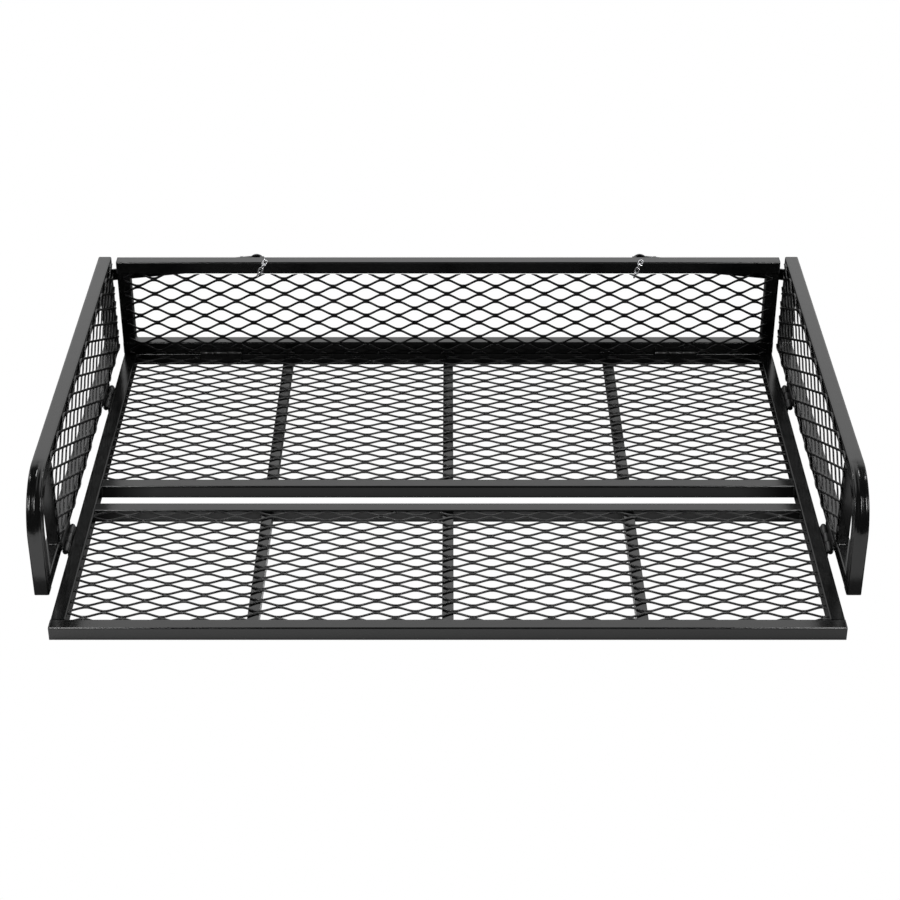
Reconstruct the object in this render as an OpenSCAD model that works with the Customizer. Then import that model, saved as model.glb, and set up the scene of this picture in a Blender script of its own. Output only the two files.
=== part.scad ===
// Drop-side cargo deck for a hitch carrier: a welded square-tube floor with
// expanded-metal mesh, two side walls that drop outward, a back wall that
// folds forward, and two lift-up lock bars that tie the walls together.
// Units are millimetres. X runs across the deck, +Y towards the back wall and
// +Z up. The origin is the centre of the bolt pattern under the middle tubes.

/* [Deck] */
// Overall width of the floor frame
deck_w = 1219; // [1180:1:1260]
// Clear depth of the bay in front of the middle tubes
front_bay = 305; // [300:1:330]
// Clear depth of the bay behind the middle tubes
rear_bay = 442; // [430:1:470]
// Gap between the two middle tubes, which takes a 2 inch square beam
slot_w = 51; // [51:0.5:60]
// Side of the square ribs under the floor mesh
rib = 18; // [15:0.5:18]
// Distance from the centre rib to each outer rib
rib_pitch = 300; // [280:1:320]

/* [Tube] */
// Outer side of the square tube
tube = 23.5; // [21:0.5:25]
// Wall thickness of the tube
tube_wall = 1.5; // [1.2:0.1:2]
// Outer corner radius of the tube
corner = 2.5; // [2:0.1:3]
// Centreline radius of the bend at the front of each side wall
bend_r = 80; // [60:1:90]

/* [Walls] */
// Height of the walls above their lower edge
wall_h = 190; // [180:1:200]
// Gap between the floor rails and the side walls
side_gap = 11.5; // [11:0.5:16]
// How far the side walls' legs stand back from the front edge of the floor
leg_setback = 85; // [60:1:110]

/* [Mesh] */
// Long pitch of the expanded metal
mesh_lwd = 60; // [56:1:64]
// Short pitch of the expanded metal
mesh_swd = 30; // [28:1:32]
// Thickness of the mesh sheet
mesh_t = 2.5; // [2:0.1:3]
// Length of a bond, where two strands meet, along the long pitch
bond_l = 15; // [12:1:18]
// Width of a bond along the short pitch
bond_w = 5; // [4:0.5:6]

/* [Hinges] */
// Length of each hinge
hinge_l = 75; // [60:1:90]
// Radius of the hinge pins
pin_r = 2.5; // [2.2:0.1:3]
// Distance of the two back wall hinges from the centre
back_hinge_x = 427; // [390:1:450]

/* [Lock bars] */
// Height of the flat lock bars
bar_h = 22; // [18:1:24]
// Thickness of the flat lock bars
bar_t = 4; // [3:0.5:5]
// Distance of the lock studs from the centre
stud_x = 353.5; // [340:0.5:370]

/* [Mounting] */
// Distance between the threaded inserts along each middle tube
insert_pitch = 120; // [100:1:160]
// Radius of the thread in each insert
insert_r = 5; // [4:0.5:5]

/* [Hidden] */
$fn = 40;

black_coat = "#2b2d2d";
zinc = "silver";
cap_plastic = "#1c1c1c";

// Floor
half_w = deck_w / 2;
mid_y = slot_w / 2 + tube / 2;
front_y = -(slot_w / 2 + 2 * tube + front_bay);
rear_y = slot_w / 2 + 2 * tube + rear_bay;
wall_front_y = rear_y - tube;
rail_l = rear_y - front_y - 2 * tube;
rail_mid_y = (rear_y + front_y) / 2;
cap_t = 2;
plug_l = 10;
plug_gap = 0.2;
floor_mesh_z = rib;
insert_wall = 1.5;
insert_gap = 0.05;
insert_l = 16;
insert_flange_r = insert_r + 2.4;
insert_flange_t = 2;

// Walls
wall_z = tube + 1;
wall_top = wall_z + wall_h;
side_x = half_w + side_gap;
side_mid_x = side_x + tube / 2;
leg_y = front_y + leg_setback + tube / 2;
bend_y = leg_y + bend_r;
bend_z = wall_top - tube / 2 - bend_r;
upright_y = rear_y - tube / 2;
// A post stands this far behind the end of the bend
post_setback = 15;
post_y = bend_y + post_setback;

// Mesh openings: each is a six-sided hole, and the lattice is set by one bond.
// strand_run is the length of the sloping part of a strand between two bonds.
strand_run = 16;
open_x = mesh_lwd / 2 - bond_l / 2;
open_y = mesh_swd / 2 - bond_w / 2;
open_flat = open_x - strand_run;
front_mesh_bond = [38.6, -316];
rear_mesh_bond = [67.1, 302.2];
back_mesh_bond = [22.7, 134.6];
side_mesh_bond = [100, 134.6];
// An opening that reaches into a sheet by less than edge_bite is left out
edge_bite = 4;
mesh_rim = 1.5;
mesh_inset = 2;
// The side sheets reach up over the top rail and leave this much of it bare
rail_bare = 5;

// Hinges
hinge_off = side_gap / 2;
knuckle_r = hinge_off - 1;
knuckle_clear = knuckle_r + 0.7;
pin_gap = 0.05;
leaf_t = mesh_t;
leaf_h = 18;
back_leaf_h = 10;
knuckle_gap = 0.5;
knuckle_l = hinge_l / 3 - knuckle_gap;
pin_head_r = 4;
pin_head_t = 1.5;
notch_gap = 2;
notch_l = hinge_l + 4 * notch_gap;
side_hinge_z = tube;
back_hinge_z = tube + 5;
side_hinge_setback = [244, 704];
side_hinge_y = [for (d = side_hinge_setback) front_y + d];
back_hinge_y = wall_front_y - hinge_off;
bridge_z = -9;
bridge_h = 6;

// Lock bars and catches
catch_t = 4;
bar_gap = 1;
bar_y = rear_y + catch_t + bar_gap;
pivot_drop = 41;
pivot_z = wall_top - pivot_drop;
eye_r = 14;
stud_r = 4;
stud_depth = 12;
stud_z = wall_top - stud_depth;
bolt_r = 4;
bolt_gap = 0.05;
spacer_r = 8;
nut_r = 7.5;
nut_t = 6.5;
bolt_head_t = 5.3;
bolt_proud = 2;
stud_drop = 2;
rivet_head_r = 6;
rivet_head_t = 2;
catch_inner_l = 8;
catch_outer_l = 5;
catch_flare = 1.15;

// Chains
wire_r = 1.4;
link_l = 14;
link_w = 9.5;
link_gap = 0.1;
chain_step = link_l - 4 * wire_r - 2 * link_gap;
// How far the end link slides past the tube's corner, and its turn in its own plane
ring_slide = 0.9;
ring_turn = 25;
ring_foot = ring_slide + link_l / 2 - wire_r;
ring_rise = (wire_r + link_gap) * cos(45) - corner * (1 - cos(45));
// How the hanging links start, roll about the chain and lean out from the tube
hook_gap = 0.3;
link_roll = 24;
chain_out = 12.5;
// Where each chain hangs along X, and how steeply it leans towards -X, in degrees
left_chain = [-336, 60];
right_chain = [353, 68];

// ---- Shared shapes ----

module rounded_square(s, r) {
  square([s, s - 2 * r], center = true);
  square([s - 2 * r, s], center = true);
  for (x = [-1, 1], y = [-1, 1])
    translate([x * (s / 2 - r), y * (s / 2 - r)]) circle(r);
}

module tube_profile() {
  difference() {
    rounded_square(tube, corner);
    rounded_square(tube - 2 * tube_wall, corner - tube_wall);
  }
}

// A straight tube centred on the origin, along Z
module tube_z(l) {
  translate([0, 0, -l / 2]) linear_extrude(l) tube_profile();
}

module tube_x(l) { rotate([0, 90, 0]) tube_z(l); }

module tube_y(l) { rotate([90, 0, 0]) tube_z(l); }

// A pressed-in cap: its plate covers z from 0 to cap_t and its plug points down
module end_cap() {
  linear_extrude(cap_t) rounded_square(tube, corner);
  translate([0, 0, -plug_l])
    linear_extrude(plug_l + cap_t / 2)
      rounded_square(tube - 2 * tube_wall - plug_gap, corner - tube_wall);
}

// Caps on both ends of a tube along X whose overall length is the deck width
module caps_x() {
  for (s = [-1, 1]) translate([s * (half_w - cap_t), 0, 0]) rotate([0, s * 90, 0]) end_cap();
}

// Draws in (y, z) and extrudes along +X
module side_plane(x) { translate([x, 0, 0]) rotate([90, 0, 90]) children(); }

// Draws in (x, z) and extrudes towards -Y
module back_plane(y) { translate([0, y, 0]) rotate([90, 0, 0]) children(); }

module mirrored_x() { mirror([1, 0, 0]) children(); }

module mesh_opening() {
  polygon([[-open_x, 0], [-open_flat, open_y], [open_flat, open_y],
    [open_x, 0], [open_flat, -open_y], [-open_flat, -open_y]]);
}

// Every opening of the lattice that bites into the rectangle from lo to hi, cut
// off at its edges
module mesh_openings(lo, hi, bond) {
  i0 = floor((lo[0] - bond[0]) * 2 / mesh_lwd) - 1;
  i1 = ceil((hi[0] - bond[0]) * 2 / mesh_lwd) + 1;
  j0 = floor((lo[1] - bond[1]) * 2 / mesh_swd) - 1;
  j1 = ceil((hi[1] - bond[1]) * 2 / mesh_swd) + 1;
  for (i = [i0 : i1], j = [j0 : j1]) {
    x = bond[0] + i * mesh_lwd / 2;
    y = bond[1] + j * mesh_swd / 2;
    reaches = x + open_x > lo[0] + edge_bite && x - open_x < hi[0] - edge_bite
      && y + open_y > lo[1] + edge_bite && y - open_y < hi[1] - edge_bite;
    inside = x - open_x > lo[0] && x + open_x < hi[0] && y - open_y > lo[1] && y + open_y < hi[1];
    if ((i + j) % 2 != 0 && reaches) {
      if (inside) translate([x, y]) mesh_opening();
      else intersection() {
        translate([x, y]) mesh_opening();
        translate(lo) square(hi - lo);
      }
    }
  }
}

// A sheet whose cut edges keep a narrow rim, where they are welded down
module mesh_sheet(lo, hi, bond) {
  rim = [mesh_rim, mesh_rim];
  difference() {
    translate(lo) square(hi - lo);
    mesh_openings(lo + rim, hi - rim, bond);
  }
}

// ---- Floor ----

module floor_front_tube() {
  color(black_coat) translate([0, front_y + tube / 2, tube / 2]) tube_x(deck_w - 2 * cap_t);
}

module floor_rear_tube() {
  color(black_coat) translate([0, rear_y - tube / 2, tube / 2]) tube_x(deck_w - 2 * cap_t);
}

module floor_rail(side) {
  color(black_coat)
    translate([side * (half_w - tube / 2), rail_mid_y, tube / 2]) tube_y(rail_l);
}

// A middle tube between the rails, with two holes in its underside for inserts
module floor_mid_tube(side) {
  color(black_coat) difference() {
    translate([0, side * mid_y, tube / 2]) tube_x(deck_w - 2 * tube);
    for (x = [-1, 1])
      translate([x * insert_pitch / 2, side * mid_y, -1])
        cylinder(r = insert_r + insert_wall + insert_gap, h = tube_wall + 2);
  }
}

// Two threaded inserts in each middle tube, flush with the underside
module mount_inserts() {
  color(zinc) for (x = [-1, 1], y = [-1, 1])
    translate([x * insert_pitch / 2, y * mid_y, 0]) difference() {
      union() {
        cylinder(r = insert_r + insert_wall, h = insert_l);
        translate([0, 0, tube_wall]) cylinder(r = insert_flange_r, h = insert_flange_t);
      }
      translate([0, 0, -1]) cylinder(r = insert_r, h = insert_l + 2);
    }
}

module floor_rib(x, y0, y1) {
  color(black_coat) translate([x * rib_pitch - rib / 2, y0, 0]) cube([rib, y1 - y0, rib]);
}

module front_rib(x) { floor_rib(x, front_y + tube, -mid_y - tube / 2); }

module rear_rib(x) { floor_rib(x, mid_y + tube / 2, wall_front_y); }

module floor_mesh(y0, y1, bond) {
  color(black_coat) translate([0, 0, floor_mesh_z])
    linear_extrude(mesh_t) mesh_sheet([-half_w + tube, y0], [half_w - tube, y1], bond);
}

module floor_mesh_front() {
  floor_mesh(front_y + tube, -mid_y - tube / 2, front_mesh_bond);
}

// The rear sheet is notched round the two back wall hinges
module floor_mesh_rear() {
  color(black_coat) difference() {
    floor_mesh(mid_y + tube / 2, wall_front_y, rear_mesh_bond);
    for (s = [-1, 1])
      translate([s * back_hinge_x - notch_l / 2, back_hinge_y - notch_gap, floor_mesh_z - 1])
        cube([notch_l, hinge_off + notch_gap + 1, mesh_t + 2]);
  }
}

module floor_end_caps() {
  color(cap_plastic) for (y = [front_y + tube / 2, rear_y - tube / 2])
    translate([0, y, tube / 2]) caps_x();
}

// ---- Side walls, drawn for the right-hand side ----

module bent_rail() {
  side_plane(side_mid_x) {
    translate([bend_y, bend_z, 0]) rotate([0, 0, 90])
      rotate_extrude(angle = 90) translate([bend_r, 0]) tube_profile();
    translate([(bend_y + rear_y - cap_t) / 2, wall_top - tube / 2, 0])
      tube_x(rear_y - cap_t - bend_y);
    translate([leg_y, (bend_z + wall_z + cap_t) / 2, 0]) tube_y(bend_z - wall_z - cap_t);
  }
}

module side_bottom_rail() {
  y0 = leg_y + tube / 2;
  y1 = rear_y - tube;
  translate([side_mid_x, (y0 + y1) / 2, wall_z + tube / 2]) tube_y(y1 - y0);
}

// The upright has a cross hole near its top for the lock bar's pivot bolt
module side_upright() {
  z0 = wall_z + cap_t;
  z1 = wall_top - tube;
  difference() {
    translate([side_mid_x, upright_y, (z0 + z1) / 2]) tube_z(z1 - z0);
    translate([side_mid_x, rear_y + 1, pivot_z]) rotate([90, 0, 0])
      cylinder(r = bolt_r + bolt_gap, h = tube + 2);
  }
}

// A solid post behind the bend, flush with the wall's inner face
module side_front_post() {
  z0 = wall_z + tube;
  translate([side_x, post_y, z0]) cube([rib, rib, wall_top - tube - z0]);
}

// The sheet lies on the wall's inner face, from the front post to the upright
module side_mesh() {
  lo = [post_y + mesh_inset, wall_z + mesh_inset];
  hi = [upright_y, wall_top - rail_bare];
  notch_top = side_hinge_z + leaf_h + notch_gap;
  side_plane(side_x - mesh_t) linear_extrude(mesh_t) difference() {
    mesh_sheet(lo, hi, side_mesh_bond);
    for (y = side_hinge_y)
      translate([y - notch_l / 2, lo[1] - 1]) square([notch_l, notch_top - lo[1] + 1]);
  }
}

module side_end_caps() {
  translate([side_mid_x, rear_y - cap_t, wall_top - tube / 2]) rotate([-90, 0, 0]) end_cap();
  for (y = [leg_y, upright_y])
    translate([side_mid_x, y, wall_z + cap_t]) rotate([180, 0, 0]) end_cap();
}

// ---- Back wall ----

module back_wall_top_tube() {
  color(black_coat) translate([0, upright_y, wall_top - tube / 2]) tube_x(deck_w - 2 * cap_t);
}

module back_wall_bottom_tube() {
  color(black_coat) translate([0, upright_y, wall_z + tube / 2]) tube_x(deck_w - 2 * cap_t);
}

module back_wall_upright(side) {
  z0 = wall_z + tube;
  z1 = wall_top - tube;
  color(black_coat)
    translate([side * (half_w - tube / 2), upright_y, (z0 + z1) / 2]) tube_z(z1 - z0);
}

// The sheet lies on the wall's front face, and is notched round the hinges
module back_wall_mesh() {
  lo = [-half_w + tube / 2, wall_z + mesh_inset];
  hi = [half_w - tube / 2, wall_top - tube];
  notch_top = back_hinge_z + back_leaf_h + notch_gap;
  color(black_coat) back_plane(wall_front_y) linear_extrude(mesh_t) difference() {
    mesh_sheet(lo, hi, back_mesh_bond);
    for (s = [-1, 1])
      translate([s * back_hinge_x - notch_l / 2, lo[1] - 1])
        square([notch_l, notch_top - lo[1] + 1]);
  }
}

module back_wall_end_caps() {
  color(cap_plastic) for (z = [wall_z + tube / 2, wall_top - tube / 2])
    translate([0, upright_y, z]) caps_x();
}

// Catch plates welded to the back of the top tube. Each notch is open at the top
// and flares outward, so a stud can leave it as its side wall drops.
module catch_plate() {
  top_z = wall_top - 0.5;
  low_z = wall_top - tube + 1;
  notch_z = stud_z - stud_r - stud_drop;
  notch_in = stud_x - stud_r - 2;
  notch_out = stud_x + stud_r + 1;
  mouth = notch_out + (top_z - notch_z) * catch_flare;
  end_in = notch_in - catch_inner_l;
  end_out = mouth + catch_outer_l;
  back_plane(rear_y + catch_t) linear_extrude(catch_t)
    polygon([[end_in, low_z], [end_in, top_z], [notch_in, top_z], [notch_in, notch_z],
      [notch_out, notch_z], [mouth, top_z], [end_out, top_z], [end_out, low_z]]);
}

module back_wall_catches() {
  color(black_coat) {
    catch_plate();
    mirrored_x() catch_plate();
  }
}

// ---- Hinges. Canonical frame: pin along Y, wall at +X, +Z up ----

module knuckle(y0, y1) {
  translate([0, y1, 0]) rotate([90, 0, 0]) cylinder(r = knuckle_r, h = y1 - y0);
}

module pin_bore() {
  translate([0, hinge_l, 0]) rotate([90, 0, 0]) cylinder(r = pin_r + pin_gap, h = 2 * hinge_l);
}

module knuckle_clearance(y0, y1) {
  translate([0, y1, 0]) rotate([90, 0, 0]) cylinder(r = knuckle_clear, h = y1 - y0);
}

// The leaf with the two outer knuckles. across is -1 when its tube faces the
// wall over the gap, and 1 when its tube lies straight below the wall.
module outer_leaf(across) {
  end = hinge_l / 2;
  y0 = end - knuckle_l;
  x0 = across < 0 ? -hinge_off : hinge_off - leaf_t;
  top = across < 0 ? 0 : -back_hinge_z + tube;
  difference() {
    union() {
      translate([x0, -end, -leaf_h - 1]) cube([leaf_t, hinge_l, leaf_h + 1 + top]);
      for (s = [-1, 1]) {
        lo = s > 0 ? y0 : -end;
        knuckle(lo, lo + knuckle_l);
        if (across > 0) translate([0, lo, bridge_z]) cube([hinge_off - 2, knuckle_l, bridge_h]);
      }
    }
    pin_bore();
    knuckle_clearance(-y0, y0);
  }
}

// The leaf with the middle knuckle, on the wall
module inner_leaf(h) {
  end = hinge_l / 2;
  y0 = knuckle_l / 2;
  difference() {
    union() {
      translate([hinge_off - leaf_t, -end, 0]) cube([leaf_t, hinge_l, h]);
      knuckle(-y0, y0);
    }
    pin_bore();
    for (s = [-1, 1]) {
      lo = s > 0 ? y0 + knuckle_gap : -end - 1;
      knuckle_clearance(lo, lo + end - y0 - knuckle_gap + 1);
    }
  }
}

module hinge_pin() {
  end = hinge_l / 2;
  translate([0, end, 0]) rotate([90, 0, 0]) cylinder(r = pin_r, h = hinge_l);
  for (y = [-end - pin_head_t, end])
    translate([0, y + pin_head_t, 0]) rotate([90, 0, 0]) cylinder(r = pin_head_r, h = pin_head_t);
}

module at_side_hinges() {
  for (y = side_hinge_y) translate([half_w + hinge_off, y, side_hinge_z]) children();
}

module at_back_hinges() {
  for (s = [-1, 1])
    translate([s * back_hinge_x, back_hinge_y, back_hinge_z]) rotate([0, 0, 90]) children();
}

// ---- Lock bars, drawn for the right-hand side ----

bar_angle = atan((stud_z - pivot_z) / (side_mid_x - stud_x));
bar_l = (side_mid_x - stud_x) / cos(bar_angle);

module lock_bar() {
  back_plane(bar_y + bar_t) linear_extrude(bar_t) difference() {
    translate([side_mid_x, pivot_z]) rotate([0, 0, 180 - bar_angle]) union() {
      translate([0, -bar_h / 2]) square([bar_l, bar_h]);
      circle(bar_h / 2);
      translate([bar_l, 0]) circle(eye_r);
    }
    translate([side_mid_x, pivot_z]) circle(bolt_r + bolt_gap);
    translate([stud_x, stud_z]) circle(stud_r);
  }
}

// A stud riveted through the bar's inner end, pointing forward into the catch
module lock_stud() {
  translate([stud_x, bar_y + bar_t, stud_z]) rotate([90, 0, 0])
    cylinder(r = stud_r, h = bar_y + bar_t - rear_y - 0.5);
  translate([stud_x, bar_y + bar_t + rivet_head_t, stud_z]) rotate([90, 0, 0])
    cylinder(r = rivet_head_r, h = rivet_head_t);
}

module pivot_bolt() {
  end_y = bar_y + bar_t + nut_t + bolt_proud;
  translate([side_mid_x, end_y, pivot_z]) rotate([90, 0, 0])
    cylinder(r = bolt_r, h = end_y - wall_front_y);
  translate([side_mid_x, wall_front_y, pivot_z]) rotate([90, 0, 0])
    cylinder(r = nut_r, h = bolt_head_t, $fn = 6);
}

module pivot_nut() {
  translate([side_mid_x, bar_y + bar_t + 0.2, pivot_z]) rotate([-90, 0, 0]) difference() {
    union() {
      cylinder(r = nut_r, h = nut_t - 1.2, $fn = 6);
      cylinder(r = nut_r - 1.6, h = nut_t - 0.4);
    }
    translate([0, 0, -1]) cylinder(r = bolt_r, h = nut_t + 2);
  }
}

module pivot_spacer() {
  translate([side_mid_x, rear_y, pivot_z]) rotate([-90, 0, 0]) difference() {
    cylinder(r = spacer_r, h = catch_t + bar_gap - 0.1);
    translate([0, 0, -1]) cylinder(r = bolt_r + bolt_gap, h = catch_t + bar_gap + 2);
  }
}

// ---- Chains, on the back wall's top tube ----

// An oval link in the XY plane, its length along X
module chain_link() {
  straight = link_l - link_w;
  r = link_w / 2 - wire_r;
  for (s = [-1, 1]) {
    translate([s * straight / 2, 0, 0]) rotate([0, 0, s > 0 ? -90 : 90])
      rotate_extrude(angle = 180) translate([r, 0]) circle(wire_r);
    translate([-straight / 2, s * r, 0]) rotate([0, 90, 0]) cylinder(r = wire_r, h = straight);
  }
}

// The free end link, resting at 45 degrees over the tube's front top corner.
// It slips over the tip of the lock bar to hold the bar down.
module chain_ring(x) {
  translate([x, wall_front_y - ring_rise, wall_top + ring_rise]) rotate([45, 0, 0])
    rotate([0, 0, 90 - ring_turn]) translate([-ring_slide, 0, 0]) chain_link();
}

// Three links that hang from the end link down the front of the tube, leaning
// towards -X; the last one touches the mesh, where it is tied
module chain(x, lean) {
  drop = cos(ring_turn) * ring_foot * cos(45);
  translate([x - sin(ring_turn) * ring_foot, wall_front_y - ring_rise - drop,
      wall_top + ring_rise - drop])
    rotate([0, 180 - lean, 0]) rotate([0, 0, -chain_out])
      for (i = [0 : 2])
        translate([link_l / 2 - 3 * wire_r - hook_gap + i * chain_step, 0, 0])
          rotate([link_roll + 90 * i, 0, 0]) chain_link();
}

// ---- Nodes ----

floor_front_tube();
floor_rear_tube();
floor_rail(-1);  // floor_left_rail
floor_rail(1);  // floor_right_rail
floor_mid_tube(-1);  // floor_mid_tube_front
floor_mid_tube(1);  // floor_mid_tube_rear
front_rib(-1);  // front_rib_left
front_rib(0);  // front_rib_centre
front_rib(1);  // front_rib_right
rear_rib(-1);  // rear_rib_left
rear_rib(0);  // rear_rib_centre
rear_rib(1);  // rear_rib_right
floor_mesh_front();
floor_mesh_rear();
floor_end_caps();
mount_inserts();
color(black_coat) mirrored_x() bent_rail();  // left_wall_bent_rail
color(black_coat) mirrored_x() side_bottom_rail();  // left_wall_bottom_rail
color(black_coat) mirrored_x() side_upright();  // left_wall_upright
color(black_coat) mirrored_x() side_front_post();  // left_wall_front_post
color(black_coat) mirrored_x() side_mesh();  // left_wall_mesh
color(cap_plastic) mirrored_x() side_end_caps();  // left_wall_end_caps
color(black_coat) bent_rail();  // right_wall_bent_rail
color(black_coat) side_bottom_rail();  // right_wall_bottom_rail
color(black_coat) side_upright();  // right_wall_upright
color(black_coat) side_front_post();  // right_wall_front_post
color(black_coat) side_mesh();  // right_wall_mesh
color(cap_plastic) side_end_caps();  // right_wall_end_caps
back_wall_top_tube();
back_wall_bottom_tube();
back_wall_upright(-1);  // back_wall_left_upright
back_wall_upright(1);  // back_wall_right_upright
back_wall_mesh();
back_wall_end_caps();
back_wall_catches();
color(black_coat) mirrored_x() at_side_hinges() outer_leaf(-1);  // left_hinge_floor_leaves
color(black_coat) mirrored_x() at_side_hinges() inner_leaf(leaf_h);  // left_hinge_wall_leaves
color(black_coat) mirrored_x() at_side_hinges() hinge_pin();  // left_hinge_pins
color(black_coat) at_side_hinges() outer_leaf(-1);  // right_hinge_floor_leaves
color(black_coat) at_side_hinges() inner_leaf(leaf_h);  // right_hinge_wall_leaves
color(black_coat) at_side_hinges() hinge_pin();  // right_hinge_pins
color(black_coat) at_back_hinges() outer_leaf(1);  // back_hinge_floor_leaves
color(black_coat) at_back_hinges() inner_leaf(back_leaf_h);  // back_hinge_wall_leaves
color(black_coat) at_back_hinges() hinge_pin();  // back_hinge_pins
color(black_coat) mirrored_x() lock_bar();  // left_lock_bar
color(zinc) mirrored_x() lock_stud();  // left_lock_stud
color(zinc) mirrored_x() pivot_bolt();  // left_pivot_bolt
color(zinc) mirrored_x() pivot_nut();  // left_pivot_nut
color(zinc) mirrored_x() pivot_spacer();  // left_pivot_spacer
color(black_coat) lock_bar();  // right_lock_bar
color(zinc) lock_stud();  // right_lock_stud
color(zinc) pivot_bolt();  // right_pivot_bolt
color(zinc) pivot_nut();  // right_pivot_nut
color(zinc) pivot_spacer();  // right_pivot_spacer
color(zinc) chain(left_chain[0], left_chain[1]);
color(zinc) chain_ring(left_chain[0]);  // left_chain_ring
color(zinc) chain(right_chain[0], right_chain[1]);
color(zinc) chain_ring(right_chain[0]);  // right_chain_ring
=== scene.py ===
"""Drop-side cargo deck for a hitch carrier: its looks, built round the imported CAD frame.

The welded tubes, hinges, lock bars and chains are CAD nodes with procedural finishes. The
expanded-metal sheets, the crushed bends of the side walls and the weld beads are made here.
Lengths are in metres, in the frame's own axes: X across, +Y towards the back wall, +Z up.
"""

import math

import bmesh
import bpy
import numpy as np
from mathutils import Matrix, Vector


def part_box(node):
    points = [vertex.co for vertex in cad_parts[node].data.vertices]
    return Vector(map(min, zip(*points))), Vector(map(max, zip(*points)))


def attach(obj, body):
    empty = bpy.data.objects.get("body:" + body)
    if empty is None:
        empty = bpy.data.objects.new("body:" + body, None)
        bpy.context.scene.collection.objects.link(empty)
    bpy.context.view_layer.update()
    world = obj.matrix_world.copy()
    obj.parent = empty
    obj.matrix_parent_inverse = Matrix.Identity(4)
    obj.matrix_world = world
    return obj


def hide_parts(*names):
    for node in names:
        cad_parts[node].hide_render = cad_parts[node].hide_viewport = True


MM = 0.001

# Expanded metal: pitches along and across the strands, and the strands themselves
LONG_PITCH = 60 * MM
SHORT_PITCH = 30 * MM
ROW_PITCH = SHORT_PITCH / 2
BOND_HALF = 3.2 * MM
STRAND_CHAMFER = 0.4 * MM
STRAND_TILT = math.radians(18)
STRAND_STEPS = 22
SHEET_MID = 1.8 * MM
MIN_BITE = 2.5 * MM

# Weld beads
BEAD_LEG = 3.2 * MM
LEAF_BEAD_LEG = 2.4 * MM
BEAD_PITCH = 1.9 * MM

# Square tube
TUBE_CORNER = 2.5 * MM
TUBE_WALL = 1.5 * MM
# In the bend the outer wall sinks and shallow flutes form along it, and the sides bulge
BEND_SINK = 3.2 * MM
BEND_FLUTE = 0.35 * MM
BEND_BULGE = 0.5 * MM

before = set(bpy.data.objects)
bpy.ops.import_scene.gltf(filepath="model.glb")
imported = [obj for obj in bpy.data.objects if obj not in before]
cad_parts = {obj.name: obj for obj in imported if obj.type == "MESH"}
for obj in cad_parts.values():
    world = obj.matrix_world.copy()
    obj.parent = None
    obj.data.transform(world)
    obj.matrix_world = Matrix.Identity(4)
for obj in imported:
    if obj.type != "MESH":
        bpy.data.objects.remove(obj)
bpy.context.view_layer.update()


# ---- Materials ----


class Shader:
    """A material's node tree, with short calls for the nodes used here."""

    def __init__(self, name):
        self.material = bpy.data.materials.new(name)
        self.material.use_nodes = True
        self.tree = self.material.node_tree
        self.surface = self.tree.nodes["Principled BSDF"]
        self.place = self.tree.nodes.new("ShaderNodeTexCoord").outputs["Object"]

    def link(self, output, socket):
        self.tree.links.new(output, socket)

    def noise(self, size, detail=3.0, rough=0.55, place=None):
        """Noise whose features are about size metres across."""
        node = self.tree.nodes.new("ShaderNodeTexNoise")
        node.inputs["Scale"].default_value = 1 / size
        node.inputs["Detail"].default_value = detail
        node.inputs["Roughness"].default_value = rough
        self.link(place or self.place, node.inputs["Vector"])
        return node.outputs["Fac"]

    def cells(self, size):
        node = self.tree.nodes.new("ShaderNodeTexVoronoi")
        node.inputs["Scale"].default_value = 1 / size
        self.link(self.place, node.inputs["Vector"])
        return node.outputs["Color"]

    def stretched(self, x, y, z):
        node = self.tree.nodes.new("ShaderNodeMapping")
        node.inputs["Scale"].default_value = (x, y, z)
        self.link(self.place, node.inputs["Vector"])
        return node.outputs["Vector"]

    def remap(self, value, lo, hi, to_lo, to_hi):
        node = self.tree.nodes.new("ShaderNodeMapRange")
        node.inputs["From Min"].default_value = lo
        node.inputs["From Max"].default_value = hi
        node.inputs["To Min"].default_value = to_lo
        node.inputs["To Max"].default_value = to_hi
        self.link(value, node.inputs["Value"])
        return node.outputs["Result"]

    def ramp(self, value, *stops):
        node = self.tree.nodes.new("ShaderNodeValToRGB")
        elements = node.color_ramp.elements
        for (place, colour), element in zip(stops[:2], elements):
            element.position = place
            element.color = (*colour, 1)
        for place, colour in stops[2:]:
            elements.new(place).color = (*colour, 1)
        self.link(value, node.inputs["Fac"])
        return node.outputs["Color"]

    def math(self, operation, a, b):
        node = self.tree.nodes.new("ShaderNodeMath")
        node.operation = operation
        for value, socket in zip((a, b), node.inputs):
            if isinstance(value, (int, float)):
                socket.default_value = value
            else:
                self.link(value, socket)
        return node.outputs["Value"]

    def bump(self, *layers):
        """Stacks (height, depth in metres) layers into one normal."""
        normal = None
        for height, depth in layers:
            node = self.tree.nodes.new("ShaderNodeBump")
            node.inputs["Distance"].default_value = depth
            self.link(height, node.inputs["Height"])
            if normal is not None:
                self.link(normal, node.inputs["Normal"])
            normal = node.outputs["Normal"]
        self.link(normal, self.surface.inputs["Normal"])

    def set(self, **values):
        for key, value in values.items():
            socket = self.surface.inputs[key.replace("_", " ")]
            if isinstance(value, bpy.types.NodeSocket):
                self.link(value, socket)
            else:
                socket.default_value = value


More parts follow.
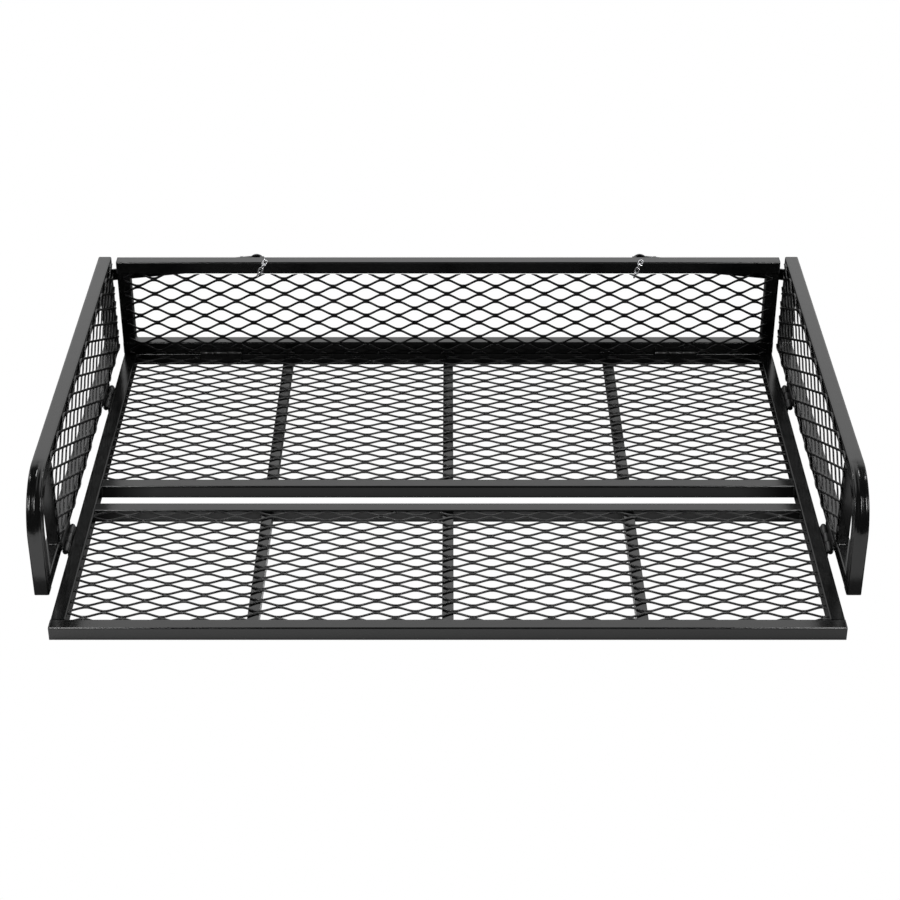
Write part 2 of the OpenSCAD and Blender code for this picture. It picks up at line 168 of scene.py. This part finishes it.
def black_coat(name="black_coat_finish", shine=0.5):
    """Glossy black powder coat: orange peel, slow waves in the gloss, a few dust nibs."""
    s = Shader(name)
    patches = s.noise(90 * MM)
    peel = s.noise(1.3 * MM, 2.0)
    nibs = s.remap(s.noise(2.2 * MM, 1.0), 0.70, 0.78, 0.0, 1.0)
    s.set(
        Base_Color=s.ramp(patches, (0.3, (0.0014, 0.0015, 0.0015)), (0.7, (0.0028, 0.0030, 0.0030))),
        Roughness=s.math("ADD", s.remap(patches, 0.3, 0.7, 0.11, 0.17), s.remap(peel, 0.3, 0.7, 0.0, 0.03)),
        Specular_IOR_Level=shine,
        IOR=1.52,
    )
    s.bump((s.noise(14 * MM, 2.0), 0.10 * MM), (peel, 0.022 * MM), (nibs, 0.03 * MM))
    return s.material


def mesh_coat():
    """The same coat on cut strands: thinner, a little duller, with a coarser skin."""
    s = Shader("mesh_coat_finish")
    patches = s.noise(35 * MM)
    skin = s.noise(0.9 * MM, 3.0)
    s.set(
        Base_Color=s.ramp(patches, (0.3, (0.0012, 0.0013, 0.0014)), (0.7, (0.0028, 0.0029, 0.0030))),
        Roughness=s.remap(patches, 0.3, 0.7, 0.24, 0.36),
        IOR=1.5,
    )
    s.bump((s.noise(4 * MM, 2.0), 0.10 * MM), (skin, 0.03 * MM))
    return s.material


def cap_plastic():
    """Moulded black polyethylene: matt, finely grained, with faint flow marks."""
    s = Shader("cap_plastic_finish")
    flow = s.noise(9 * MM, 4.0, place=s.stretched(1.0, 1.0, 2.6))
    grain = s.noise(0.35 * MM, 2.0)
    s.set(
        Base_Color=s.ramp(flow, (0.35, (0.010, 0.010, 0.011)), (0.65, (0.019, 0.019, 0.020))),
        Roughness=s.remap(grain, 0.3, 0.7, 0.38, 0.52),
        IOR=1.5,
    )
    s.bump((flow, 0.05 * MM), (grain, 0.03 * MM))
    return s.material


def zinc_hardware():
    """Zinc plate: small crystals, a pale yellow cast in places and fine turning marks."""
    s = Shader("zinc_hardware_finish")
    crystals = s.cells(1.6 * MM)
    cast = s.noise(6 * MM)
    marks = s.noise(0.5 * MM, 2.0, place=s.stretched(0.2, 3.0, 3.0))
    tone = s.ramp(cast, (0.35, (0.50, 0.50, 0.51)), (0.60, (0.62, 0.61, 0.58)), (0.75, (0.66, 0.62, 0.50)))
    s.set(
        Base_Color=tone,
        Metallic=1.0,
        Roughness=s.math("ADD", s.remap(crystals, 0.0, 1.0, 0.24, 0.38), s.remap(marks, 0.3, 0.7, 0.0, 0.06)),
    )
    s.bump((crystals, 0.02 * MM), (marks, 0.02 * MM))
    return s.material


def chain_zinc():
    """Bright-dipped chain: nearly mirror, with greyer hollows and drawn-wire lines."""
    s = Shader("chain_zinc_finish")
    stains = s.noise(2.5 * MM)
    wire = s.noise(0.3 * MM, 2.0)
    s.set(
        Base_Color=s.ramp(stains, (0.35, (0.55, 0.56, 0.58)), (0.60, (0.86, 0.86, 0.87))),
        Metallic=1.0,
        Roughness=s.remap(stains, 0.3, 0.7, 0.30, 0.14),
    )
    s.bump((stains, 0.05 * MM), (wire, 0.012 * MM))
    return s.material


FINISH = {
    "black_coat": black_coat(),
    # Painted shade: a less reflective copy of the black coat, for the floor rails that the side walls' mesh
    # shades from the backdrop
    "worn_coat": black_coat("painted_shade_coat_finish", 0.25),
    "mesh_coat": mesh_coat(),
    "cap_plastic": cap_plastic(),
    "zinc_hardware": zinc_hardware(),
    "chain_zinc": chain_zinc(),
}


# ---- Helpers for pieces ----


def add_piece(name, bm, slot, body, smooth_below=50, replaces=()):
    """Turns bm into a piece with a finish, on a CAD body. Edges sharper than smooth_below stay crisp."""
    bmesh.ops.recalc_face_normals(bm, faces=bm.faces)
    mesh = bpy.data.meshes.new(name)
    bm.to_mesh(mesh)
    bm.free()
    mesh.shade_smooth()
    mesh.set_sharp_from_angle(angle=math.radians(smooth_below))
    mesh.materials.append(FINISH[slot])
    obj = bpy.data.objects.new(name, mesh)
    bpy.context.scene.collection.objects.link(obj)
    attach(obj, body)
    if replaces:
        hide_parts(*replaces)


def append_loops(bm, rings):
    """Skins rings of points, shaped (rings, points, 3), into a tube with closed ends."""
    verts = [[bm.verts.new(p) for p in ring] for ring in rings]
    size = len(verts[0])
    for lower, upper in zip(verts, verts[1:]):
        for j in range(size):
            k = (j + 1) % size
            bm.faces.new((lower[j], lower[k], upper[k], upper[j]))
    bm.faces.new(verts[0][::-1])
    bm.faces.new(verts[-1])


def smooth_step(t):
    t = np.clip(t, 0, 1)
    return t * t * (3 - 2 * t)


# ---- Expanded metal ----


class Strand:
    """One gauge of strand: its section, a chamfered bar tilted in the sheet, as (across, out)
    points, and how far it swings across and out of the sheet to meet its neighbours."""

    def __init__(self, width, thickness):
        w, t, c = width / 2, thickness / 2, STRAND_CHAMFER
        corners = [
            (w, -t + c), (w, t - c), (w - c, t), (-w + c, t),
            (-w, t - c), (-w, -t + c), (-w + c, -t), (w - c, -t),
        ]
        ca, sa = math.cos(STRAND_TILT), math.sin(STRAND_TILT)
        self.section = np.array([(x * ca - y * sa, x * sa + y * ca) for x, y in corners])
        self.swing = (ROW_PITCH - width * ca) / 2 + 0.06 * MM
        self.lift = w * sa
        self.reach = self.swing + w


FLOOR_STRAND = Strand(3.8 * MM, 2.0 * MM)
WALL_STRAND = Strand(4.7 * MM, 2.5 * MM)


def wave(along):
    """1 where a strand meets the row above, -1 half a pitch away where it meets the row below."""
    distance = np.abs((along / LONG_PITCH + 0.5) % 1.0 - 0.5) * LONG_PITCH
    share = np.clip((distance - BOND_HALF) / (LONG_PITCH / 2 - 2 * BOND_HALF), 0, 1)
    return 1 - 2 * (0.65 * share + 0.35 * smooth_step(share))


def strand_rings(strand, start, end, row_v, sign, bond_u):
    """Rings of (along, across, out) points for one strand between two places along the sheet."""
    step = LONG_PITCH / STRAND_STEPS
    first = math.floor((start - bond_u) / step) + 1
    last = math.ceil((end - bond_u) / step) - 1
    inner = bond_u + step * np.arange(first, last + 1)
    inner = inner[(inner - start > 0.2 * step) & (end - inner > 0.2 * step)]
    u = np.concatenate([[start], inner, [end]])
    swing = sign * wave(u - bond_u)
    across = row_v + strand.swing * swing[:, None] + strand.section[None, :, 0]
    out = SHEET_MID - strand.lift * swing[:, None] + strand.section[None, :, 1]
    along = np.broadcast_to(u[:, None], across.shape)
    return np.stack([along, across, out], axis=2)


def cut_bmesh(bm, point, normal):
    """Cuts away what lies beyond a plane and closes the cut."""
    geometry = bm.verts[:] + bm.edges[:] + bm.faces[:]
    bmesh.ops.bisect_plane(bm, geom=geometry, plane_co=point, plane_no=normal, clear_outer=True, dist=1e-7)
    rim = [e for e in bm.edges if e.is_boundary]
    if rim:
        bmesh.ops.holes_fill(bm, edges=rim, sides=0)


def expanded_sheet(name, node, body, strand, lo, hi, bond, place, notches=()):
    """Weaves strands over the rectangle lo to hi of a sheet.

    bond is the middle of one bond. A notch (from, to, edge, facing) clears what lies past edge
    between two places along the sheet. place turns (along, across, out) into the row frame.
    """
    reach = strand.reach
    whole, trimmed = bmesh.new(), bmesh.new()
    beside = [bmesh.new() for _ in notches]
    limits = [((0, hi[1]), (0, 1)), ((0, lo[1]), (0, -1))]
    notches = [(max(a, lo[0]), max(b, lo[0]), edge, facing) for a, b, edge, facing in notches]
    first = math.floor((lo[1] - bond[1] - reach) / ROW_PITCH)
    last = math.ceil((hi[1] - bond[1] + reach) / ROW_PITCH)
    for k in range(first, last + 1):
        v = bond[1] + (k + 0.5) * ROW_PITCH
        if v - reach > hi[1] - MIN_BITE or v + reach < lo[1] + MIN_BITE:
            continue
        sign = -1 if k % 2 == 0 else 1
        stops = [lo[0]]
        for (start, end, edge, facing), bm in zip(notches, beside):
            if facing * (v - edge) + reach > 0:
                stops += [start, end]
                if facing * (v - edge) - reach < -MIN_BITE and end - start > MIN_BITE:
                    append_loops(bm, strand_rings(strand, start, end, v, sign, bond[0]))
        stops.append(hi[0])
        for start, end in zip(stops[::2], stops[1::2]):
            if end - start < MIN_BITE:
                continue
            corners = [(s, v + r) for s in (start, end) for r in (-reach, reach)]
            crosses = any((c[0] - p[0]) * n[0] + (c[1] - p[1]) * n[1] > 0 for c in corners for p, n in limits)
            append_loops(trimmed if crosses else whole, strand_rings(strand, start, end, v, sign, bond[0]))
    for point, normal in limits:
        cut_bmesh(trimmed, (*point, 0), (*normal, 0))
    for (_, _, edge, facing), bm in zip(notches, beside):
        cut_bmesh(bm, (0, edge, 0), (0, facing, 0))
        for point, normal in limits:
            cut_bmesh(bm, (*point, 0), (*normal, 0))
    for bm in (trimmed, *beside):
        part = bpy.data.meshes.new(name + "_part")
        bm.to_mesh(part)
        bm.free()
        whole.from_mesh(part)
        bpy.data.meshes.remove(part)
    for vert in whole.verts:
        vert.co = place(*vert.co)
    add_piece(name, whole, "mesh_coat", body, smooth_below=62, replaces=(node,))


# ---- Sizes read from the frame ----

FRONT_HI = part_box("floor_front_tube")[1]
REAR_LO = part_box("floor_rear_tube")[0]
RAIL_LO, RAIL_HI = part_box("floor_right_rail")
MID_FRONT_LO, MID_FRONT_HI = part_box("floor_mid_tube_front")
MID_REAR_LO, MID_REAR_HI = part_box("floor_mid_tube_rear")
BENT_LO, BENT_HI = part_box("right_wall_bent_rail")
WALL_RAIL_LO, WALL_RAIL_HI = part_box("right_wall_bottom_rail")
UPRIGHT_LO, UPRIGHT_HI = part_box("right_wall_upright")
POST_LO, POST_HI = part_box("right_wall_front_post")
TOP_LO, TOP_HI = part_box("back_wall_top_tube")
BOTTOM_LO, BOTTOM_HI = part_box("back_wall_bottom_tube")
TUBE = TOP_HI.z - TOP_LO.z
FLOOR_MESH_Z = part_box("floor_mesh_rear")[0].z
BEND_RADIUS = 80 * MM
BEND_Y = BENT_LO.y + TUBE / 2 + BEND_RADIUS
BEND_Z = BENT_HI.z - TUBE / 2 - BEND_RADIUS
# A wall sheet clears the hinge leaves by NOTCH_GAP. A side sheet starts SIDE_SHEET_DROP above
# the underside of the wall's bottom rail.
NOTCH_GAP = 2 * MM
SIDE_SHEET_DROP = 10 * MM


def islands(node, axis):
    """The boxes of a node's separate solids, told apart by gaps along one axis."""
    co = np.array([v.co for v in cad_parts[node].data.vertices], float)
    co = co[np.argsort(co[:, axis])]
    breaks = np.nonzero(np.diff(co[:, axis]) > 40 * MM)[0] + 1
    return [(Vector(part.min(0)), Vector(part.max(0))) for part in np.split(co, breaks)]


def notches_above(node, axis):
    """The stretches of wall mesh that give way to a pair of hinge leaves."""
    return [
        (lo[axis] - NOTCH_GAP, hi[axis] + NOTCH_GAP, hi.z + NOTCH_GAP, -1) for lo, hi in islands(node, axis)
    ]


def floor_sheet(name, bond):
    lo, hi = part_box("floor_mesh_" + name)
    hinges = islands("back_hinge_floor_leaves", 0) if name == "rear" else ()
    expanded_sheet(
        f"floor_{name}_expanded_metal",
        "floor_mesh_" + name,
        "floor",
        FLOOR_STRAND,
        (lo.x, lo.y),
        (hi.x, hi.y),
        bond,
        lambda u, v, w: (u, v, FLOOR_MESH_Z + w),
        [(a.x - NOTCH_GAP, b.x + NOTCH_GAP, a.y - NOTCH_GAP, 1) for a, b in hinges],
    )


def side_sheet(side, bond):
    name = "left" if side < 0 else "right"
    lo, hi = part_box(name + "_wall_mesh")
    expanded_sheet(
        f"{name}_wall_expanded_metal",
        name + "_wall_mesh",
        name + "_wall",
        WALL_STRAND,
        (lo.y, WALL_RAIL_LO.z + SIDE_SHEET_DROP),
        (hi.y, hi.z),
        bond,
        lambda u, v, w: (side * (BENT_LO.x - w), u, v),
        notches_above(name + "_hinge_wall_leaves", 1),
    )


def back_sheet(bond):
    lo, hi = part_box("back_wall_mesh")
    expanded_sheet(
        "back_wall_expanded_metal",
        "back_wall_mesh",
        "back_wall",
        WALL_STRAND,
        (lo.x, lo.z),
        (hi.x, hi.z),
        bond,
        lambda u, v, w: (u, TOP_LO.y - w, v),
        notches_above("back_hinge_wall_leaves", 0),
    )


# ---- Bent rails of the side walls ----


def square_ring(size, corner, face_steps):
    """A rounded square as (a, b) points, going round once, with points along its faces."""
    flat = size / 2 - corner
    points = []
    for quarter in range(4):
        turn = quarter * math.pi / 2
        c, s = math.cos(turn), math.sin(turn)
        local = [(size / 2, t * flat) for t in np.linspace(-1, 1, face_steps)]
        local += [
            (flat + corner * math.cos(a), flat + corner * math.sin(a))
            for a in np.linspace(0, math.pi / 2, 6)[1:-1]
        ]
        points += [(x * c - y * s, x * s + y * c) for x, y in local]
    return np.array(points)


def rail_path():
    """Places along the bent rail, from its back end to the leg's foot, as
    (y, z, turn from level, share of the bend's crush)."""
    back, foot = BENT_HI.y, BENT_LO.z
    top = BENT_HI.z - TUBE / 2
    front = BENT_LO.y + TUBE / 2
    ease = 14 * MM
    stops = [(y, top, 0.0, 0.0) for y in (back, back - 60 * MM, BEND_Y + 3 * ease)]
    stops += [(BEND_Y + ease * t, top, 0.0, 0.12 * (1 - t)) for t in (1.0, 0.5)]
    for a in np.linspace(0, math.pi / 2, 46):
        crush = 0.12 + 0.88 * math.sin(2 * a) ** 0.6 if 0 < a < math.pi / 2 else 0.12
        stops.append((BEND_Y - BEND_RADIUS * math.sin(a), BEND_Z + BEND_RADIUS * math.cos(a), a, crush))
    stops += [(front, BEND_Z - ease * t, math.pi / 2, 0.12 * (1 - t)) for t in (0.5, 1.0)]
    stops += [(front, z, math.pi / 2, 0.0) for z in (BEND_Z - 3 * ease, foot)]
    return stops


def crushed(section, crush, angle):
    """The tube's section in the bend: outer wall sunk, sides pushed out, inner wall rippled."""
    half = TUBE / 2
    a, b = section[:, 0].copy(), section[:, 1].copy()
    across = np.clip(1 - (b / (half - 1.2 * MM)) ** 2, 0, 1)
    outer = smooth_step(a / half * 1.25 - 0.25)
    inner = smooth_step(-a / half * 1.25 - 0.25)
    ripple = 0.35 * MM * math.sin(angle * 22) * crush
    a -= outer * across * (BEND_SINK + BEND_FLUTE * np.cos(3 * math.pi * b / half)) * crush
    a += inner * across * (0.5 * MM * crush + ripple)
    middle = np.clip(1 - (a / half) ** 2, 0, 1)
    b += np.sign(b) * middle * BEND_BULGE * crush * (np.abs(b) > half - TUBE_CORNER)
    return np.stack([a, b], axis=1)


def bent_rail(side):
    """The side wall's hollow top rail and leg, bent in a press, so that its bend is slightly crushed."""
    name = "left" if side < 0 else "right"
    outside = square_ring(TUBE, TUBE_CORNER, 13)
    inside = square_ring(TUBE - 2 * TUBE_WALL, TUBE_CORNER - TUBE_WALL, 13)
    mid_x = (BENT_LO.x + BENT_HI.x) / 2
    bm = bmesh.new()
    skins = []
    for section in (outside, inside):
        rings = []
        for y, z, turn, crush in rail_path():
            shaped = crushed(section, crush, turn)
            outward = (-math.sin(turn), math.cos(turn))
            rings.append([(side * (mid_x + b), y + a * outward[0], z + a * outward[1]) for a, b in shaped])
        verts = [[bm.verts.new(p) for p in ring] for ring in rings]
        for lower, upper in zip(verts, verts[1:]):
            for j in range(len(lower)):
                k = (j + 1) % len(lower)
                bm.faces.new((lower[j], lower[k], upper[k], upper[j]))
        skins.append(verts)
    for end in (0, -1):
        outer_ring, inner_ring = skins[0][end], skins[1][end]
        for j in range(len(outer_ring)):
            k = (j + 1) % len(outer_ring)
            bm.faces.new((outer_ring[j], outer_ring[k], inner_ring[k], inner_ring[j]))
    node = name + "_wall_bent_rail"
    add_piece(name + "_wall_pressed_rail", bm, "black_coat", name + "_wall", 50, (node,))


# ---- Weld beads ----

RANDOM = np.random.RandomState(11)


def bead(bm, start, end, face_a, face_b, leg=BEAD_LEG):
    """A fillet weld along an inside corner: crescent ripples, rounded ends, uneven size."""
    start, end = np.array(start, float), np.array(end, float)
    face_a, face_b = np.array(face_a, float), np.array(face_b, float)
    length = np.linalg.norm(end - start)
    axis = (end - start) / length
    steps = max(6, int(length / (BEAD_PITCH / 5)))
    phase = RANDOM.uniform(0, 2 * math.pi)
    drift = RANDOM.uniform(0.92, 1.08)
    turns = np.linspace(0, math.pi / 2, 6)
    rings = []
    for i in range(steps + 1):
        t = i / steps
        taper = (1 - abs(2 * t - 1) ** 6) ** 0.5 if 0 < t < 1 else 0.0
        ripple = 1 + 0.11 * abs(math.sin(phase + math.pi * t * length / BEAD_PITCH)) - 0.05
        sway = 1 + 0.05 * math.sin(phase + 9 * t)
        size = leg * drift * sway * ripple * (0.35 + 0.65 * taper)
        centre = start + axis * length * t - (face_a + face_b) * 0.25 * MM
        ring = [centre]
        for turn in turns:
            radius = size * (0.55 / (math.cos(turn) + math.sin(turn)) + 0.45)
            bow = math.sin(2 * turn) * 0.3 * leg * (1 if i not in (0, steps) else 0.4)
            spot = centre + (face_a * math.cos(turn) + face_b * math.sin(turn)) * radius
            ring.append(spot + axis * (bow - 0.15 * leg))
        rings.append(ring)
    append_loops(bm, rings)


def floor_welds():
    """Rails to cross tubes, ribs to cross tubes, and hinge leaves to the floor frame."""
    bm = bmesh.new()
    low, high = RAIL_LO.z + 2 * MM, RAIL_HI.z - 2 * MM
    meets = [
        (FRONT_HI.y, 1), (MID_FRONT_LO.y, -1), (MID_FRONT_HI.y, 1),
        (MID_REAR_LO.y, -1), (MID_REAR_HI.y, 1), (REAR_LO.y, -1),
    ]
    for side in (-1, 1):
        for y, facing in meets:
            bead(bm, (side * RAIL_LO.x, y, low), (side * RAIL_LO.x, y, high), (-side, 0, 0), (0, facing, 0))
        node = ("left" if side < 0 else "right") + "_hinge_floor_leaves"
        for lo, hi in islands(node, 1):
            for y, facing in ((lo.y, -1), (hi.y, 1)):
                x = side * RAIL_HI.x
                bead(bm, (x, y, lo.z + 2 * MM), (x, y, high), (side, 0, 0), (0, facing, 0), LEAF_BEAD_LEG)
    for rib in ("left", "centre", "right"):
        for bay in ("front", "rear"):
            lo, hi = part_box(f"{bay}_rib_{rib}")
            for x, facing in ((lo.x, -1), (hi.x, 1)):
                for y, away in ((lo.y, 1), (hi.y, -1)):
                    bead(bm, (x, y, lo.z + 1.5 * MM), (x, y, hi.z - 1.5 * MM), (facing, 0, 0), (0, away, 0))
    for lo, hi in islands("back_hinge_floor_leaves", 0):
        for x, facing in ((lo.x, -1), (hi.x, 1)):
            foot = (x, REAR_LO.y, lo.z + 2 * MM)
            bead(bm, foot, (x, REAR_LO.y, high), (facing, 0, 0), (0, -1, 0), LEAF_BEAD_LEG)
    add_piece("floor_welds", bm, "black_coat", "floor", 75)


def side_welds(side):
    """Leg, post and upright to the bottom rail, post and upright to the top rail, hinge leaves
    to the bottom rail."""
    name = "left" if side < 0 else "right"
    bm = bmesh.new()
    near, far = side * (UPRIGHT_LO.x + 2 * MM), side * (UPRIGHT_HI.x - 2 * MM)
    corners = [
        (WALL_RAIL_LO.y, WALL_RAIL_HI.z, 1, 1),
        (WALL_RAIL_HI.y, WALL_RAIL_HI.z, -1, 1),
        (WALL_RAIL_HI.y, UPRIGHT_HI.z, -1, -1),
    ]
    for y, z, away, up in corners:
        bead(bm, (near, y, z), (far, y, z), (0, away, 0), (0, 0, up))
    near, far = side * (POST_LO.x + 2 * MM), side * (POST_HI.x - 2 * MM)
    for y, away in ((POST_LO.y, -1), (POST_HI.y, 1)):
        for z, up in ((POST_LO.z, 1), (POST_HI.z, -1)):
            bead(bm, (near, y, z), (far, y, z), (0, away, 0), (0, 0, up))
    for lo, hi in islands(name + "_hinge_wall_leaves", 1):
        for y, facing in ((lo.y, -1), (hi.y, 1)):
            x = side * BENT_LO.x
            foot = (x, y, WALL_RAIL_LO.z + 2 * MM)
            bead(bm, foot, (x, y, hi.z - MM), (-side, 0, 0), (0, facing, 0), LEAF_BEAD_LEG)
    add_piece(name + "_wall_welds", bm, "black_coat", name + "_wall", 75)


def back_welds():
    """Uprights to the long tubes, catch plates and hinge leaves to the back wall."""
    bm = bmesh.new()
    near, far = TOP_LO.y + 2 * MM, TOP_HI.y - 2 * MM
    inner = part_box("back_wall_right_upright")[0].x
    for side in (-1, 1):
        for z, up in ((BOTTOM_HI.z, 1), (TOP_LO.z, -1)):
            bead(bm, (side * inner, near, z), (side * inner, far, z), (-side, 0, 0), (0, 0, up))
    for lo, hi in islands("back_wall_catches", 0):
        for x, facing in ((lo.x, -1), (hi.x, 1)):
            low, high = (x, TOP_HI.y, lo.z + MM), (x, TOP_HI.y, hi.z - MM)
            bead(bm, low, high, (facing, 0, 0), (0, 1, 0), LEAF_BEAD_LEG)
    for lo, hi in islands("back_hinge_wall_leaves", 0):
        for x, facing in ((lo.x, -1), (hi.x, 1)):
            low, high = (x, BOTTOM_LO.y, hi.z - 8 * MM), (x, BOTTOM_LO.y, hi.z - MM)
            bead(bm, low, high, (facing, 0, 0), (0, -1, 0), LEAF_BEAD_LEG)
    add_piece("back_wall_welds", bm, "black_coat", "back_wall", 75)


# ---- CAD nodes that stay: finishes and broken edges ----

EDGE_BREAK = {
    "_rib_": 0.8 * MM,
    "_front_post": 0.8 * MM,
    "_lock_bar": 0.5 * MM,
    "_catches": 0.5 * MM,
    "_leaves": 0.35 * MM,
    "_caps": 0.5 * MM,
    "_lock_stud": 0.4 * MM,
    "_pivot_bolt": 0.4 * MM,
    "_pivot_nut": 0.4 * MM,
    "_hinge_pins": 0.3 * MM,
}

# Nodes finished otherwise than their slot says: the floor rails take a less reflective copy of the coat,
# painted shade from the side walls' mesh; hinges are duller
OTHER_FINISH = {"floor_left_rail": "worn_coat", "floor_right_rail": "worn_coat", "_leaves": "mesh_coat"}


def finish_cad_nodes():
    for name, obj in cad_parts.items():
        slot = obj.data.materials[0].name.split(".")[0]
        for part, finish in OTHER_FINISH.items():
            if part in name:
                slot = finish
        for i in range(len(obj.data.materials)):
            obj.data.materials[i] = FINISH[slot]
        for part, width in EDGE_BREAK.items():
            if part in name:
                weld = obj.modifiers.new("weld", "WELD")
                weld.merge_threshold = 0.01 * MM
                bevel = obj.modifiers.new("edges", "BEVEL")
                bevel.width = width
                bevel.segments = 2
                bevel.limit_method = "ANGLE"
                bevel.angle_limit = math.radians(40)
                bevel.harden_normals = True


# ---- Stage, light and camera ----


BACKDROP = 1.3
ROOM = 0.05


def stage_floor():
    """A plain white sweep. The camera sees it evenly white, as an over-lit sweep looks. In reflections and
    bounced light its colour is painted shade:
    bright in front of the object and under its front bay, dark further back, darker towards the right, with a
    painted contact shadow along the floor rails."""
    bm = bmesh.new()
    corners = [(-6, -1.1), (6, -1.1), (6, 6), (-6, 6)]
    bm.faces.new([bm.verts.new((x, y, -0.5 * MM)) for x, y in corners])
    mesh = bpy.data.meshes.new("stage_floor")
    bm.to_mesh(mesh)
    bm.free()
    s = Shader("stage_white_painted_shade")
    split = s.tree.nodes.new("ShaderNodeSeparateXYZ")
    s.link(s.place, split.inputs["Vector"])
    # Painted shade: bright in front and under the front bay, dark from the middle of the deck back
    depth = s.remap(split.outputs["Y"], -0.10, 0.12, 0.9, 0.12)
    # Painted shade across the floor: lighter to the left, darker to the right
    painted_shade_sideways = s.remap(split.outputs["X"], -0.7, 0.7, 1.1, 0.75)
    # Painted contact shadow: beside and outside the floor rails, from just behind the front edge back, the
    # floor drops to a fifth
    rail_shadow_sides = s.remap(s.math("ABSOLUTE", split.outputs["X"], 0.0), 0.50, 0.57, 0.0, 1.0)
    rail_shadow_behind_front = s.remap(split.outputs["Y"], -0.376, -0.372, 0.0, 1.0)
    painted_shade_sideways = s.math("MULTIPLY", painted_shade_sideways, s.remap(s.math("MULTIPLY", rail_shadow_sides, rail_shadow_behind_front), 0.0, 1.0, 1.0, 0.2))
    s.set(Base_Color=s.math("MULTIPLY", depth, painted_shade_sideways), Roughness=1.0, Specular_IOR_Level=0.0)
    white = s.tree.nodes.new("ShaderNodeEmission")
    mix = s.tree.nodes.new("ShaderNodeMixShader")
    s.link(s.tree.nodes.new("ShaderNodeLightPath").outputs["Is Camera Ray"], mix.inputs["Fac"])
    s.link(s.surface.outputs["BSDF"], mix.inputs[1])
    s.link(white.outputs["Emission"], mix.inputs[2])
    s.link(mix.outputs["Shader"], s.tree.nodes["Material Output"].inputs["Surface"])
    mesh.materials.append(s.material)
    obj = bpy.data.objects.new("stage_floor", mesh)
    bpy.context.scene.collection.objects.link(obj)


def studio_world():
    """White to the camera. In reflections, a bright backdrop behind the object and a dark room
    overhead and in front."""
    world = bpy.data.worlds.new("studio")
    bpy.context.scene.world = world
    world.use_nodes = True
    tree = world.node_tree
    background = tree.nodes["Background"]
    place = tree.nodes.new("ShaderNodeTexCoord").outputs["Generated"]
    split = tree.nodes.new("ShaderNodeSeparateXYZ")
    tree.links.new(place, split.inputs["Vector"])

    def fade(value, full, none):
        node = tree.nodes.new("ShaderNodeMapRange")
        node.interpolation_type = "SMOOTHSTEP"
        node.inputs["From Min"].default_value = none
        node.inputs["From Max"].default_value = full
        tree.links.new(value, node.inputs["Value"])
        return node.outputs["Result"]

    def combine(operation, a, b):
        node = tree.nodes.new("ShaderNodeMath")
        node.operation = operation
        for value, socket in zip((a, b), node.inputs):
            if isinstance(value, (int, float)):
                socket.default_value = value
            else:
                tree.links.new(value, socket)
        return node.outputs["Value"]

    low = fade(split.outputs["Z"], 0.74, 0.86)
    behind = fade(split.outputs["Y"], 0.15, -0.25)
    backdrop = combine("MULTIPLY", combine("MULTIPLY", low, behind), BACKDROP - ROOM)
    seen = combine("ADD", backdrop, ROOM)
    camera_ray = tree.nodes.new("ShaderNodeLightPath").outputs["Is Camera Ray"]
    hidden = combine("MULTIPLY", seen, combine("SUBTRACT", 1.0, camera_ray))
    tree.links.new(combine("ADD", hidden, camera_ray), background.inputs["Strength"])
    background.inputs["Color"].default_value = (1, 1, 1, 1)


def soft_light(name, place, target, width, height, radiance, glossy=True):
    """A rectangular softbox of a given radiance, turned to face a point."""
    light = bpy.data.lights.new(name, "AREA")
    light.shape = "RECTANGLE"
    light.size = width
    light.size_y = height
    light.energy = radiance * math.pi * width * height
    obj = bpy.data.objects.new(name, light)
    bpy.context.scene.collection.objects.link(obj)
    obj.location = place
    obj.rotation_euler = (Vector(target) - Vector(place)).to_track_quat("-Z", "Y").to_euler()
    obj.visible_camera = False
    obj.visible_glossy = glossy


def studio_lights():
    for side in (-1, 1):
        soft_light(f"key_{side}", (side * 1.55, -3.0, 3.1), (side * 0.3, 0, 0), 0.6, 1.6, 18)
        soft_light(f"rim_{side}", (side * 1.28, 0.9, 3.6), (side * 0.6, -0.2, 0.2), 0.4, 0.9, 18)
    soft_light("fill", (0, 0.2, 3.2), (0, 0.2, 0), 3.0, 2.6, 1.3, glossy=False)


def camera():
    """Straight on, from above the front edge, with a long lens."""
    data = bpy.data.cameras.new("camera")
    data.lens = 82.8
    data.sensor_width = 36
    obj = bpy.data.objects.new("camera", data)
    bpy.context.scene.collection.objects.link(obj)
    obj.location = (0.0034, -2.9286, 1.8963)
    obj.rotation_euler = (math.radians(90 - 31.364), 0, 0)
    bpy.context.scene.camera = obj


# ---- Build ----

floor_sheet("front", (39.6 * MM, -316 * MM))
floor_sheet("rear", (67.1 * MM, 304.7 * MM))
back_sheet((27.9 * MM, 136.1 * MM))
for wall_side in (-1, 1):
    side_sheet(wall_side, (100 * MM, 135.5 * MM))
    bent_rail(wall_side)
    side_welds(wall_side)
floor_welds()
back_welds()
finish_cad_nodes()

stage_floor()
studio_world()
studio_lights()
camera()
bpy.context.scene.view_settings.view_transform = "Standard"
